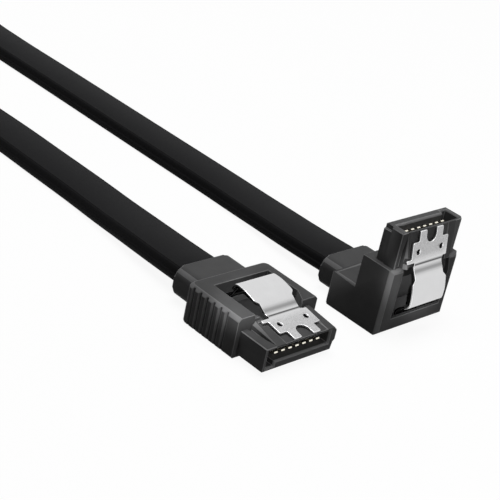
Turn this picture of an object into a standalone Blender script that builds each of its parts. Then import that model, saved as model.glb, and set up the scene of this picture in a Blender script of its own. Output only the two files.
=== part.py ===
"""Serial data lead for a computer drive: a straight plug and a right-angle plug, each with a
moulded housing, seven sprung contacts, a pressed metal latch and an overmould, joined by one
flat black cable.

Metres, +Z up. Both plugs stand on Z = 0 and the origin lies midway between them.
Each plug is modelled once in its own plug frame, with its zero at the middle of the lower
edge of the mating face:
    u  the way the plug is pushed in
    v  across the row of contacts
    w  from the plain side to the latch side
The straight plug has u along +X and w along +Z. The angled plug has u along +Z and w along +X.
"""

import math

import bmesh
import bpy
import numpy as np
from mathutils import Matrix, Vector

MM = 0.001

# Clearances between pieces that seat in one another
SEAT_GAP = 0.06 * MM
CABLE_GAP = 0.15 * MM
CUTTER_OVERRUN = 1.0 * MM
JOIN_OVERLAP = 0.5 * MM
SAME_PLACE = 0.0001 * MM

# Contacts
CONTACT_COUNT = 7
CONTACT_PITCH = 1.27 * MM
CONTACT_WIDTH = 0.62 * MM
CONTACT_THICKNESS = 0.2 * MM
CONTACT_TIP_SETBACK = 0.75 * MM
CONTACT_BOW_SETBACK = 1.4 * MM
CONTACT_BOW_DROP = 1.15 * MM
CONTACT_TIP_LIFT = 0.25 * MM
CONTACT_BEND_SETBACK = 3.5 * MM
CONTACT_RAMP_SETBACK = 2.4 * MM
CONTACT_RAMP_DROP = 0.33 * MM
CONTACT_STEPS = 4
CONTACT_ROOF_GAP = 0.12 * MM
CONTACT_TAIL = 0.4 * MM

# Housing, the part of a plug that enters the drive
HEAD_WIDTH = 12.9 * MM
HEAD_HEIGHT = 3.4 * MM
HEAD_EDGE = 0.1 * MM
HEAD_CORNER = 0.5 * MM
KEY_STEP_WIDTH = 0.5 * MM
KEY_STEP_HEIGHT = 1.3 * MM
KEY_STEP_SLOPE = 0.15 * MM
KEY_LEDGE_SETBACK = 0.7 * MM
KEY_LEDGE_WIDTH = 0.35 * MM
SLOT_DEPTH = 4.4 * MM
SLOT_FLOOR = 1.15 * MM
SLOT_ROOF_WALL = 0.4 * MM
SLOT_LEFT_WALL = 0.5 * MM
SLOT_RIGHT_WALL = 1.25 * MM
SLOT_LEG_WIDTH = 1.4 * MM
SLOT_LEG_FLOOR = 0.45 * MM
SLOT_LEAD_IN = 0.15 * MM
LEAD_IN_DEPTH = 0.25 * MM
TENON_LENGTH = 2.0 * MM
TENON_INSET = 0.7 * MM
TENON_BOTTOM = 0.5 * MM
TENON_TOP = 2.6 * MM

# Deck, the ramp on the housing that carries the latch
STRAIGHT_DECK = (-4.65 * MM, 5.9 * MM)
ANGLED_DECK = (-5.3 * MM, 4.6 * MM)
DECK_START_LIFT = 0.03 * MM
DECK_SLOPE = 0.17
DECK_CHAMFER = 0.45 * MM
DECK_ROOT = 0.15 * MM
POCKET_SLOPE = 0.09
POCKET_MARGIN = 0.15 * MM
GROOVE_START = 0.8 * MM
GROOVE_WIDTH = 0.9 * MM
GROOVE_DEPTH = 0.3 * MM

# Latch, one pressed strip of spring steel
LATCH_THICKNESS = 0.26 * MM
LATCH_SHIFT = 0.75 * MM
LATCH_DECK_GAP = 0.05 * MM
LATCH_TIP_SETBACK = 0.05 * MM
LATCH_STEPS = 3
PLATE_WIDTH = 7.3 * MM
PLATE_LENGTH = 4.3 * MM
PLATE_SLOPE = 0.17
PLATE_STEPS = 6
PLATE_BEND = 0.3 * MM
PRONG_OUTER = 2.4 * MM
PRONG_INNER = 1.05 * MM
PRONG_LENGTH = 1.5 * MM
PRONG_FILLET = 0.3 * MM
PRONG_SLOT_SETBACK = 0.85 * MM
PRONG_SLOT_STEPS = 8
NECK_WIDTH = 5.9 * MM
NECK_LENGTH = 2.5 * MM
NECK_RISE = 0.62
ARM_WIDTH = 7.0 * MM
ARM_END_WIDTH = 6.8 * MM
ARM_CORNER = 0.3 * MM
ARM_SWELL = 0.2 * MM
TAB_LENGTH = 0.9 * MM
TAB_WIDTH = 0.5 * MM
BUMP_WIDTH = 0.9 * MM
BUMP_HEIGHT = 0.3 * MM
BUMP_SPACING = 4.8 * MM
BUMP_SETBACK = 2.95 * MM
STRAIGHT_CREST = (-10.7 * MM, 6.1 * MM)
ANGLED_CREST = (-10.4 * MM, 5.9 * MM)
CREST_BEND = 0.3 * MM
HOOK_SETBACK = 12.45 * MM
HOOK_END_SETBACK = 13.35 * MM
HOOK_HEIGHT = 3.1 * MM
HOOK_BEND = 0.4 * MM
HOOK_WIDTH = 4.6 * MM
HOOK_TONGUE = 3.1 * MM

# Window in the overmould, which the latch arm moves in
STRAIGHT_WINDOW_REAR = 12.9 * MM
ANGLED_WINDOW_REAR = 13.25 * MM
RIM_OVERHANG = 0.8 * MM
RIM_UNDERSIDE = 3.3 * MM
CAVITY_FLOOR = 1.8 * MM
CAVITY_FRONT = 11.1 * MM
WINDOW_SAG = 0.75 * MM
WINDOW_STEPS = 6
WINDOW_BATTER = 0.25
FACET_LENGTH = 2.3 * MM
CHEEK_WIDTH = 1.0 * MM
CHEEK_DROP = 0.55 * MM

# Straight overmould
OVERMOULD_WIDTH = 14.3 * MM
OVERMOULD_EDGE = 0.45 * MM
OVERMOULD_CORNER = 1.2 * MM
STRAIGHT_EXPOSED = 4.85 * MM
STRAIGHT_LENGTH = 15.2 * MM
STRAIGHT_LIFT = 0.65 * MM
STRAIGHT_TOP = 5.2 * MM
STRAIGHT_WINDOW = (-4.35 * MM, 5.45 * MM)
STRAIGHT_FACET = 1.3 * MM
STRAIGHT_WINDOW_FLOOR = 3.75 * MM
GRIP_COUNT = 6
GRIP_PITCH = 1.3 * MM
GRIP_WIDTH = 0.6 * MM
GRIP_DEPTH = 0.28 * MM
GRIP_FIRST = 7.2 * MM

# Angled overmould
ANGLED_EXPOSED = 5.3 * MM
ANGLED_HEIGHT = 15.45 * MM
ANGLED_FRONT = 3.85 * MM
ANGLED_BLOCK_DEPTH = 5.4 * MM
ANGLED_FOOT_LENGTH = 9.9 * MM
ANGLED_FOOT_HEIGHT = 5.3 * MM
ANGLED_EDGE = 0.5 * MM
HEEL_STEPS = 3
ANGLED_WINDOW = (-4.7 * MM, 5.6 * MM)
ANGLED_FACET = 0.75 * MM
ANGLED_WINDOW_FLOOR = 3.2 * MM

# Collar round the cable at the back of each overmould
COLLAR_WIDTH = 10.0 * MM
COLLAR_HEIGHT = 4.4 * MM
COLLAR_CORNER = 1.4 * MM
STRAIGHT_COLLAR_LENGTH = 4.6 * MM
ANGLED_COLLAR_LENGTH = 3.9 * MM
STRAIGHT_CABLE_HEIGHT = 2.85 * MM
ANGLED_CABLE_HEIGHT = 2.65 * MM
CABLE_SEAT = 2.2 * MM

# Cable
CABLE_WIDTH = 7.2 * MM
CABLE_THICKNESS = 2.4 * MM
CABLE_CORNER = 0.4 * MM
CABLE_STATION = 6.5 * MM
CABLE_FLOOR_GAP = 0.02 * MM
CABLE_CORNER_STEPS = 2
ROUTE_STEPS = 24

# Layout
PLUG_SPACING = 22.3 * MM
CORNER_STEPS = 6

# The origin lies midway between the straight collar's end and the angled latch's crest
STRAIGHT_REAR = STRAIGHT_LENGTH + STRAIGHT_COLLAR_LENGTH
ANGLED_LATCH_REACH = ANGLED_CREST[1] + LATCH_THICKNESS / 2 - ANGLED_FRONT
FRONT_X = (STRAIGHT_REAR - ANGLED_LATCH_REACH) / 2
STRAIGHT_Y = -PLUG_SPACING / 2
ANGLED_Y = PLUG_SPACING / 2
STRAIGHT_EXIT = Vector((FRONT_X - STRAIGHT_REAR, STRAIGHT_Y, STRAIGHT_CABLE_HEIGHT))
ANGLED_EXIT = Vector((FRONT_X - ANGLED_FOOT_LENGTH - ANGLED_COLLAR_LENGTH, ANGLED_Y,
                      ANGLED_CABLE_HEIGHT))

STRAIGHT_FRAME = Matrix.Translation((FRONT_X, STRAIGHT_Y, STRAIGHT_LIFT))
ANGLED_FRAME = Matrix((
    (0, 0, 1, FRONT_X - ANGLED_FRONT),
    (0, -1, 0, ANGLED_Y),
    (1, 0, 0, ANGLED_HEIGHT),
    (0, 0, 0, 1),
))

# The cable's centre line beyond the collars, from the straight plug round to the angled one:
# x and y in mm, the lift above lying on the surface in mm, and the quarter turns made by the
# ribbon, which stands on its edge for the wide turn and lies flat elsewhere
CABLE_ROUTE = [
    (-15.8, -10.9, 1.40, 0.0), (-20.8, -10.5, 1.08, 0.0), (-26.8, -9.85, 0.60, 0.0),
    (-32.8, -9.3, 0.18, 0.0), (-40.5, -8.9, 0.0, 0.0), (-50.5, -8.9, 0.0, 0.0),
    (-60.5, -8.9, 0.0, 0.0), (-72.5, -9.3, 0.0, 0.03), (-84.5, -10.2, 0.0, 0.3),
    (-96.5, -11.6, 0.0, 0.75), (-108.5, -13.4, 0.0, 1.0), (-124.5, -16.8, 0.0, 1.0),
    (-141.6, -20.9, 0.0, 1.0), (-158.6, -24.3, 0.0, 1.0), (-174.6, -25.2, 0.0, 1.0),
    (-189.6, -21.4, 0.0, 1.0), (-200.6, -12.0, 0.0, 1.0), (-205.1, 2.0, 0.0, 1.0),
    (-200.6, 16.1, 0.0, 1.0), (-189.6, 25.5, 0.0, 1.0), (-174.6, 29.3, 0.0, 1.0),
    (-158.6, 28.4, 0.0, 1.0), (-143.6, 24.6, 0.0, 0.98), (-130.6, 20.2, 0.0, 0.75),
    (-118.5, 16.2, 0.0, 0.3), (-106.5, 13.8, 0.0, 0.03), (-94.5, 13.2, 0.0, 0.0),
    (-78.5, 13.25, 0.0, 0.0), (-62.5, 13.25, 0.0, 0.0), (-46.5, 13.25, 0.0, 0.0),
    (-34.5, 13.25, 0.0, 0.0), (-26.8, 12.9, 0.17, 0.0), (-20.8, 12.3, 0.55, 0.0),
    (-14.8, 11.6, 0.98, 0.0), (-9.2, 11.2, 1.32, 0.0),
]


def clear_scene():
    for item in list(bpy.data.objects):
        bpy.data.objects.remove(item, do_unlink=True)


def material(name, colour, roughness, metallic=0.0):
    made = bpy.data.materials.new(name)
    made.use_nodes = True
    shader = made.node_tree.nodes["Principled BSDF"]
    shader.inputs["Base Color"].default_value = (*colour, 1.0)
    shader.inputs["Roughness"].default_value = roughness
    shader.inputs["Metallic"].default_value = metallic
    made.diffuse_color = (*colour, 1.0)
    return made


def frame_empty(name, matrix):
    empty = bpy.data.objects.new(name, None)
    bpy.context.collection.objects.link(empty)
    empty.matrix_world = matrix
    return empty


def make_object(name, bm, parent=None, finish=None, origin=(0, 0, 0)):
    """An object of this mesh, with its own zero moved to a point of the parent's frame."""
    bmesh.ops.translate(bm, vec=-Vector(origin), verts=bm.verts)
    bmesh.ops.recalc_face_normals(bm, faces=bm.faces)
    mesh = bpy.data.meshes.new(name)
    bm.to_mesh(mesh)
    bm.free()
    item = bpy.data.objects.new(name, mesh)
    bpy.context.collection.objects.link(item)
    item.parent = parent
    item.location = origin
    if finish:
        mesh.materials.append(finish)
        mesh.shade_smooth()
        mesh.set_sharp_from_angle(angle=math.radians(30))
    return item


def boolean(target, operation, tool):
    """Cuts or joins a helper solid, which stays in the file as a wire outline."""
    tool.hide_render = True
    tool.display_type = "WIRE"
    modifier = target.modifiers.new(tool.name, "BOOLEAN")
    modifier.operation = operation
    modifier.solver = "EXACT"
    modifier.object = tool


def loft(loops):
    """A closed solid through loops of equally many points, with flat ends."""
    bm = bmesh.new()
    rings = [[bm.verts.new(point) for point in loop] for loop in loops]
    count = len(rings[0])
    for first, second in zip(rings, rings[1:]):
        for i in range(count):
            j = (i + 1) % count
            bm.faces.new((first[i], first[j], second[j], second[i]))
    bm.faces.new(rings[0])
    bm.faces.new(rings[-1])
    return bm


def along_u(outline, rear, front):
    """A prism of a (v, w) outline between two values of u."""
    return loft([[(u, v, w) for v, w in outline] for u in (rear, front)])


def along_v(outline, low, high):
    """A prism of a (u, w) outline between two values of v."""
    return loft([[(u, v, w) for u, w in outline] for v in (low, high)])


def along_w(outline, low, high):
    """A prism of a (u, v) outline between two values of w."""
    return loft([[(u, v, w) for u, v in outline] for w in (low, high)])


def grown(outline, distance):
    """The outline with each straight side moved outwards by a distance."""
    points = [Vector(point) for point in outline]
    area = sum(a.x * b.y - b.x * a.y for a, b in zip(points, points[1:] + points[:1]))
    turn = 1.0 if area > 0 else -1.0
    result = []
    for i, point in enumerate(points):
        before = (point - points[i - 1]).normalized()
        after = (points[(i + 1) % len(points)] - point).normalized()
        normal_a = Vector((before.y, -before.x)) * turn
        normal_b = Vector((after.y, -after.x)) * turn
        mitre = (normal_a + normal_b).normalized()
        result.append(tuple(point + mitre * (distance / mitre.dot(normal_a))))
    return result


def rounded_box(width, height, corner, centre=(0.0, 0.0), steps=CORNER_STEPS):
    """A rectangle's outline with round corners."""
    points = []
    for quarter, (side_x, side_y) in enumerate(((1, 1), (-1, 1), (-1, -1), (1, -1))):
        middle_x = centre[0] + side_x * (width / 2 - corner)
        middle_y = centre[1] + side_y * (height / 2 - corner)
        for step in range(steps + 1):
            angle = math.pi / 2 * (quarter + step / steps)
            points.append((middle_x + corner * math.cos(angle),
                           middle_y + corner * math.sin(angle)))
    return points


def bevel_edges(bm, chosen, width, segments=1):
    """Bevels the edges whose two end points both pass the test."""
    edges = [edge for edge in bm.edges if all(chosen(vert.co) for vert in edge.verts)]
    bmesh.ops.bevel(bm, geom=edges, offset=width, segments=segments, profile=0.5,
                    affect="EDGES", clamp_overlap=True)


def near(value, target):
    return abs(value - target) < 10 * SAME_PLACE


def split_across_u(bm, place):
    """Adds edges all round a mesh where the plane at this u crosses it."""
    bmesh.ops.bisect_plane(bm, geom=bm.verts[:] + bm.edges[:] + bm.faces[:],
                           plane_co=(place, 0, 0), plane_no=(1, 0, 0), dist=SAME_PLACE)


def deck_top(u):
    return HEAD_HEIGHT + DECK_START_LIFT - DECK_SLOPE * u


def contact_places():
    first = -(CONTACT_COUNT - 1) / 2 * CONTACT_PITCH
    return [first + i * CONTACT_PITCH for i in range(CONTACT_COUNT)]


def contact_root_height():
    """Middle of the contact strip where it lies along the slot's roof."""
    roof = HEAD_HEIGHT - SLOT_ROOF_WALL
    return roof - CONTACT_ROOF_GAP - CONTACT_THICKNESS / 2


def slot_outline():
    left = -HEAD_WIDTH / 2 + SLOT_LEFT_WALL
    right = HEAD_WIDTH / 2 - SLOT_RIGHT_WALL
    roof = HEAD_HEIGHT - SLOT_ROOF_WALL
    leg = left + SLOT_LEG_WIDTH
    return [(left, SLOT_LEG_FLOOR), (leg, SLOT_LEG_FLOOR), (leg, SLOT_FLOOR),
            (right, SLOT_FLOOR), (right, roof), (left, roof)]


def head_outline(hand):
    half = HEAD_WIDTH / 2
    inner = half - KEY_STEP_WIDTH
    left = HEAD_CORNER if hand < 0 else HEAD_EDGE
    right = HEAD_CORNER if hand > 0 else HEAD_EDGE
    return [(-half, 0), (inner, 0), (inner, KEY_STEP_HEIGHT),
            (half, KEY_STEP_HEIGHT + KEY_STEP_SLOPE), (half, HEAD_HEIGHT - right),
            (half - right, HEAD_HEIGHT), (left - half, HEAD_HEIGHT), (-half, HEAD_HEIGHT - left)]


def tenon_outline():
    half = HEAD_WIDTH / 2 - TENON_INSET
    return [(-half, TENON_BOTTOM), (half - KEY_STEP_WIDTH, TENON_BOTTOM),
            (half - KEY_STEP_WIDTH, TENON_TOP), (-half, TENON_TOP)]


def deck_section(u, sides, hand):
    low, high = sides
    top = deck_top(u)
    root = HEAD_HEIGHT - DECK_ROOT
    rise = top - HEAD_HEIGHT
    chamfer = min(DECK_CHAMFER, rise / 2)
    return [(u, hand * v, w) for v, w in (
        (low, root), (high, root), (high, top - chamfer), (high - chamfer, top),
        (low + chamfer, top), (low, top - chamfer))]


def add_housing(name, frame, exposed, deck_sides, hand, finish):
    """The moulded head: a block with the L slot, the latch deck and the tenon behind it."""
    bm = along_u(head_outline(hand), -exposed, 0)
    bevel_edges(bm, lambda co: near(co.x, 0), HEAD_EDGE)
    housing = make_object(name, bm, frame, finish)

    inner = HEAD_WIDTH / 2 - KEY_STEP_WIDTH
    ledge = [(inner - JOIN_OVERLAP, 0), (inner + KEY_LEDGE_WIDTH, 0),
             (inner + KEY_LEDGE_WIDTH, KEY_STEP_HEIGHT + JOIN_OVERLAP),
             (inner - JOIN_OVERLAP, KEY_STEP_HEIGHT + JOIN_OVERLAP)]
    bm = along_u(ledge, -exposed, -KEY_LEDGE_SETBACK)
    boolean(housing, "UNION", make_object(name + "_key_ledge", bm, frame))

    loops = [deck_section(u, deck_sides, hand) for u in (-exposed, 0)]
    boolean(housing, "UNION", make_object(name + "_deck", loft(loops), frame))

    tenon = along_u(tenon_outline(), -exposed - TENON_LENGTH, -exposed + JOIN_OVERLAP)
    boolean(housing, "UNION", make_object(name + "_tenon", tenon, frame))

    slot = slot_outline()
    stations = ((-SLOT_DEPTH, 0.0), (-LEAD_IN_DEPTH, 0.0), (0.0, SLOT_LEAD_IN),
                (CUTTER_OVERRUN, SLOT_LEAD_IN))
    loops = [[(u, v, w) for v, w in grown(slot, more)] for u, more in stations]
    boolean(housing, "DIFFERENCE", make_object(name + "_slot", loft(loops), frame))

    for number, place in enumerate(contact_places(), 1):
        half = CONTACT_WIDTH / 2 + SEAT_GAP
        lift = CONTACT_THICKNESS / 2 + SEAT_GAP
        root = contact_root_height()
        channel = [(place - half, root - lift), (place + half, root - lift),
                   (place + half, root + lift), (place - half, root + lift)]
        tool = along_u(channel, -SLOT_DEPTH - CONTACT_TAIL - SEAT_GAP, -SLOT_DEPTH + SEAT_GAP)
        boolean(housing, "DIFFERENCE", make_object(f"{name}_channel_{number}", tool, frame))

    left = LATCH_SHIFT - PLATE_WIDTH / 2 - POCKET_MARGIN
    right = LATCH_SHIFT + PLATE_WIDTH / 2 + POCKET_MARGIN
    floor = HEAD_HEIGHT + DECK_START_LIFT
    rear = -exposed - CUTTER_OVERRUN
    over = deck_top(rear) + CUTTER_OVERRUN
    pocket = along_v([(0, floor), (rear, floor - POCKET_SLOPE * rear), (rear, over), (0, over)],
                     left, right)
    boolean(housing, "DIFFERENCE", make_object(name + "_latch_pocket", pocket, frame))

    tab_rear = -LATCH_TIP_SETBACK - PLATE_LENGTH - POCKET_MARGIN
    tab_front = tab_rear + TAB_WIDTH + 2 * POCKET_MARGIN
    tab_side = left if hand > 0 else right
    tab_end = tab_side - hand * TAB_LENGTH
    tab_root = tab_side + hand * SEAT_GAP
    notch_floor = floor - POCKET_SLOPE * tab_front
    notch = along_w([(tab_rear, tab_end), (tab_front, tab_end), (tab_front, tab_root),
                     (tab_rear, tab_root)], notch_floor, over)
    boolean(housing, "DIFFERENCE", make_object(name + "_tab_notch", notch, frame))

    groove_floor = HEAD_HEIGHT - GROOVE_DEPTH
    inside = hand * deck_sides[0]
    outside = hand * (deck_sides[0] - GROOVE_WIDTH)
    groove = along_w([(-GROOVE_START, inside), (rear, inside), (rear, outside)], groove_floor, over)
    boolean(housing, "DIFFERENCE", make_object(name + "_groove", groove, frame))
    return housing


def strip_outline(points, thickness):
    """The (u, w) outline of a strip of even thickness along a line of points."""
    line = [Vector(point) for point in points]
    upper, lower = [], []
    for i, point in enumerate(line):
        ahead = line[min(i + 1, len(line) - 1)] - line[max(i - 1, 0)]
        side = Vector((-ahead.y, ahead.x)).normalized() * (thickness / 2)
        upper.append(tuple(point + side))
        lower.append(tuple(point - side))
    return upper + lower[::-1]


def smooth_line(points, steps):
    """Points along a smooth curve through the given ones."""
    line = [np.array(point, float) for point in points]
    line = [2 * line[0] - line[1]] + line + [2 * line[-1] - line[-2]]
    result = []
    for i in range(1, len(line) - 2):
        before, start, end, after = line[i - 1:i + 3]
        for step in range(steps):
            t = step / steps
            result.append(0.5 * (2 * start + (end - before) * t
                                 + (2 * before - 5 * start + 4 * end - after) * t ** 2
                                 + (3 * start - before - 3 * end + after) * t ** 3))
    result.append(line[-2])
    return result


def add_contacts(prefix, frame, finish):
    """Seven sprung strips that bow down from the slot's roof towards the drive's contacts."""
    root = contact_root_height()
    tail = -SLOT_DEPTH - CONTACT_TAIL
    low = root - CONTACT_BOW_DROP
    line = [(tail, root), (-CONTACT_BEND_SETBACK, root),
            (-CONTACT_RAMP_SETBACK, root - CONTACT_RAMP_DROP),
            (-CONTACT_BOW_SETBACK, low), (-CONTACT_TIP_SETBACK, low + CONTACT_TIP_LIFT)]
    outline = strip_outline(smooth_line(line, CONTACT_STEPS), CONTACT_THICKNESS)
    for number, place in enumerate(contact_places(), 1):
        bm = along_v(outline, -CONTACT_WIDTH / 2, CONTACT_WIDTH / 2)
        contact = make_object(f"{prefix}_contact_{number}", bm, frame, finish)
        contact.location = (0, place, 0)


def latch_pivot():
    """The line across the prong tips that the latch rocks about, as (u, w)."""
    height = (HEAD_HEIGHT + DECK_START_LIFT + POCKET_SLOPE * LATCH_TIP_SETBACK
              + LATCH_DECK_GAP + LATCH_THICKNESS / 2)
    return Vector((-LATCH_TIP_SETBACK, height))


def latch_profile(crest_place):
    """Side view of the latch strip's middle, from the prong tips to the hook under the rim."""
    start = latch_pivot()
    plate_end = start + Vector((-PLATE_LENGTH, PLATE_SLOPE * PLATE_LENGTH))
    plate = [start.lerp(plate_end, i / PLATE_STEPS) for i in range(PLATE_STEPS + 1)]
    crest = Vector(crest_place)
    neck = plate_end + Vector((-NECK_LENGTH, NECK_RISE * (crest.y - plate_end.y)))
    heel = Vector((-HOOK_SETBACK, HOOK_HEIGHT))
    fall = (heel - crest).normalized()
    arm = [
        plate_end + Vector((-PLATE_BEND, 0)),
        plate_end + Vector((-3 * PLATE_BEND, PLATE_BEND / 3)),
        neck,
        (neck + crest) / 2 + Vector((0, ARM_SWELL)),
        crest + Vector((2 * CREST_BEND, 0)),
        crest + Vector((CREST_BEND / 3, -CREST_BEND / 6)),
        crest + fall * CREST_BEND,
        crest.lerp(heel, 0.5),
        heel - fall * HOOK_BEND,
        heel + Vector((-HOOK_BEND, 0)),
        Vector((-HOOK_END_SETBACK, HOOK_HEIGHT)),
    ]
    return [tuple(point) for point in plate] + [tuple(p) for p in smooth_line(arm, LATCH_STEPS)]


def latch_plan(length, hand):
    """Flat blank of the latch as (s, v), with s along the strip from the prong tips."""
    plate, neck, arm = PLATE_WIDTH / 2, NECK_WIDTH / 2, ARM_WIDTH / 2
    end, hook = ARM_END_WIDTH / 2, HOOK_WIDTH / 2
    tongue = length - HOOK_TONGUE
    plate_end = PLATE_LENGTH * math.hypot(1, PLATE_SLOPE)
    neck_end = plate_end + NECK_LENGTH
    step = arm - neck
    right = [(0, PRONG_INNER), (0, PRONG_OUTER), (PRONG_LENGTH - PRONG_FILLET, PRONG_OUTER),
             (PRONG_LENGTH, PRONG_OUTER + PRONG_FILLET), (PRONG_LENGTH, plate), (plate_end, plate),
             (plate_end, neck), (neck_end, neck), (neck_end + step, arm),
             (tongue - ARM_CORNER, end), (tongue, end - ARM_CORNER), (tongue, hook),
             (length - ARM_CORNER, hook), (length, hook - ARM_CORNER)]
    tab = [(plate_end, -plate - TAB_LENGTH), (plate_end - TAB_WIDTH, -plate - TAB_LENGTH),
           (plate_end - TAB_WIDTH, -plate)]
    left = []
    for s, v in reversed(right):
        if (s, v) == (plate_end, plate):
            left.extend(tab)
        else:
            left.append((s, -v))
    slot = []
    for i in range(PRONG_SLOT_STEPS + 1):
        angle = math.pi * i / PRONG_SLOT_STEPS
        slot.append((PRONG_SLOT_SETBACK + PRONG_INNER * math.sin(angle),
                     -PRONG_INNER * math.cos(angle)))
    return [(s, hand * v) for s, v in right + left + slot]


def add_latch(name, frame, crest_place, hand, finish):
    """The latch: a flat blank cut to its outline, bent along its side profile."""
    line = [np.array(point) for point in latch_profile(crest_place)]
    steps = [np.linalg.norm(b - a) for a, b in zip(line, line[1:])]
    stations = np.concatenate([[0.0], np.cumsum(steps)])
    bm = bmesh.new()
    plan = latch_plan(stations[-1], hand)
    blank = bm.faces.new([bm.verts.new((s, v, 0)) for s, v in plan])
    bm.normal_update()
    if blank.normal.z < 0:
        blank.normal_flip()
    for station in stations[1:-1]:
        split_across_u(bm, station)
    tangents = np.gradient(np.array(line), axis=0)
    top, bottom = {}, {}
    for vert in list(bm.verts):
        s = min(max(vert.co.x, 0.0), stations[-1])
        middle = np.array([np.interp(s, stations, [p[i] for p in line]) for i in (0, 1)])
        ahead = np.array([np.interp(s, stations, tangents[:, i]) for i in (0, 1)])
        ahead /= np.linalg.norm(ahead)
        side = np.array([ahead[1], -ahead[0]]) * LATCH_THICKNESS / 2
        across = vert.co.y + LATCH_SHIFT
        top[vert] = (middle[0] + side[0], across, middle[1] + side[1])
        bottom[vert] = (middle[0] - side[0], across, middle[1] - side[1])
    solid = bmesh.new()
    upper = {vert: solid.verts.new(top[vert]) for vert in bm.verts}
    lower = {vert: solid.verts.new(bottom[vert]) for vert in bm.verts}
    for face in bm.faces:
        solid.faces.new([upper[vert] for vert in face.verts])
        solid.faces.new([lower[vert] for vert in reversed(face.verts)])
    for edge in bm.edges:
        if edge.is_boundary:
            a, b = edge.verts
            solid.faces.new((upper[a], upper[b], lower[b], lower[a]))
    bm.free()
    pivot = latch_pivot()
    latch = make_object(name, solid, frame, finish, (pivot.x, LATCH_SHIFT, pivot.y))
    for side in (-1, 1):
        middle = side * BUMP_SPACING / 2 + LATCH_SHIFT
        front = -BUMP_SETBACK + BUMP_WIDTH / 2
        rear = -BUMP_SETBACK - BUMP_WIDTH / 2
        base = pivot.y - PLATE_SLOPE * (front - pivot.x)
        rise = PLATE_SLOPE * BUMP_WIDTH
        wedge = [(front, base), (rear, base + rise),
                 (rear, base + rise + LATCH_THICKNESS / 2 + BUMP_HEIGHT)]
        bump = along_v(wedge, middle - BUMP_WIDTH / 2, middle + BUMP_WIDTH / 2)
        boolean(latch, "UNION", make_object(f"{name}_bump_{side + 2}", bump, frame))
    return latch


def window_outline(exposed, rear, top, floor):
    """Side view of the window: open on top, its floor falling to a cavity under the rim."""
    front = -exposed + CUTTER_OVERRUN
    start = -exposed
    deepest = -rear - RIM_OVERHANG
    points = [(front, top + CUTTER_OVERRUN), (-rear, top + CUTTER_OVERRUN), (-rear, RIM_UNDERSIDE),
              (deepest, RIM_UNDERSIDE), (deepest, CAVITY_FLOOR), (-CAVITY_FRONT, CAVITY_FLOOR)]
    for i in range(WINDOW_STEPS + 1):
        t = i / WINDOW_STEPS
        u = -CAVITY_FRONT + (start + CAVITY_FRONT) * t
        points.append((u, floor - WINDOW_SAG * (1 - t) ** 2))
    points.append((front, floor))
    return points


def cut_window(overmould, frame, exposed, rear, top, floor, sides, facet, hand):
    """Cuts the latch window, which narrows to its mouth on one side and has a battered wall and
    a low cheek on the other."""
    low, high = sides
    bm = along_v(window_outline(exposed, rear, top, floor), low, high)
    turn = -exposed - FACET_LENGTH
    split_across_u(bm, turn)
    for vert in bm.verts:
        if near(vert.co.y, low):
            vert.co.y = low + WINDOW_BATTER * (top - vert.co.z)
        elif vert.co.x > turn:
            vert.co.y = high - facet * (vert.co.x - turn) / FACET_LENGTH
        vert.co.y *= hand
    boolean(overmould, "DIFFERENCE", make_object(overmould.name + "_window", bm, frame))
    mouth = -exposed - SEAT_GAP
    cheek = [(turn, hand * (low - JOIN_OVERLAP)), (mouth, hand * (low - JOIN_OVERLAP)),
             (mouth, hand * (low + CHEEK_WIDTH)), (turn, hand * low)]
    bm = along_w(cheek, floor - JOIN_OVERLAP, top - CHEEK_DROP)
    boolean(overmould, "UNION", make_object(overmould.name + "_cheek", bm, frame))


def cut_tenon_pocket(overmould, frame, exposed):
    pocket = along_u(grown(tenon_outline(), SEAT_GAP), -exposed - TENON_LENGTH - SEAT_GAP,
                     -exposed + CUTTER_OVERRUN)
    boolean(overmould, "DIFFERENCE", make_object(overmould.name + "_tenon_pocket", pocket, frame))


def overmould_ring(w, inset):
    """Plan of the straight overmould at one height, with round rear corners."""
    front = -STRAIGHT_EXPOSED - SEAT_GAP
    half = OVERMOULD_WIDTH / 2 - inset
    rear = -STRAIGHT_LENGTH + inset
    corner = OVERMOULD_CORNER - inset
    ring = [(front, -half, w), (front, half, w)]
    for side, start in ((1, math.pi / 2), (-1, math.pi)):
        for step in range(CORNER_STEPS + 1):
            angle = start + math.pi / 2 * step / CORNER_STEPS
            ring.append((rear + corner + corner * math.cos(angle),
                         side * (half - corner) + corner * math.sin(angle), w))
    return ring


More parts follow.
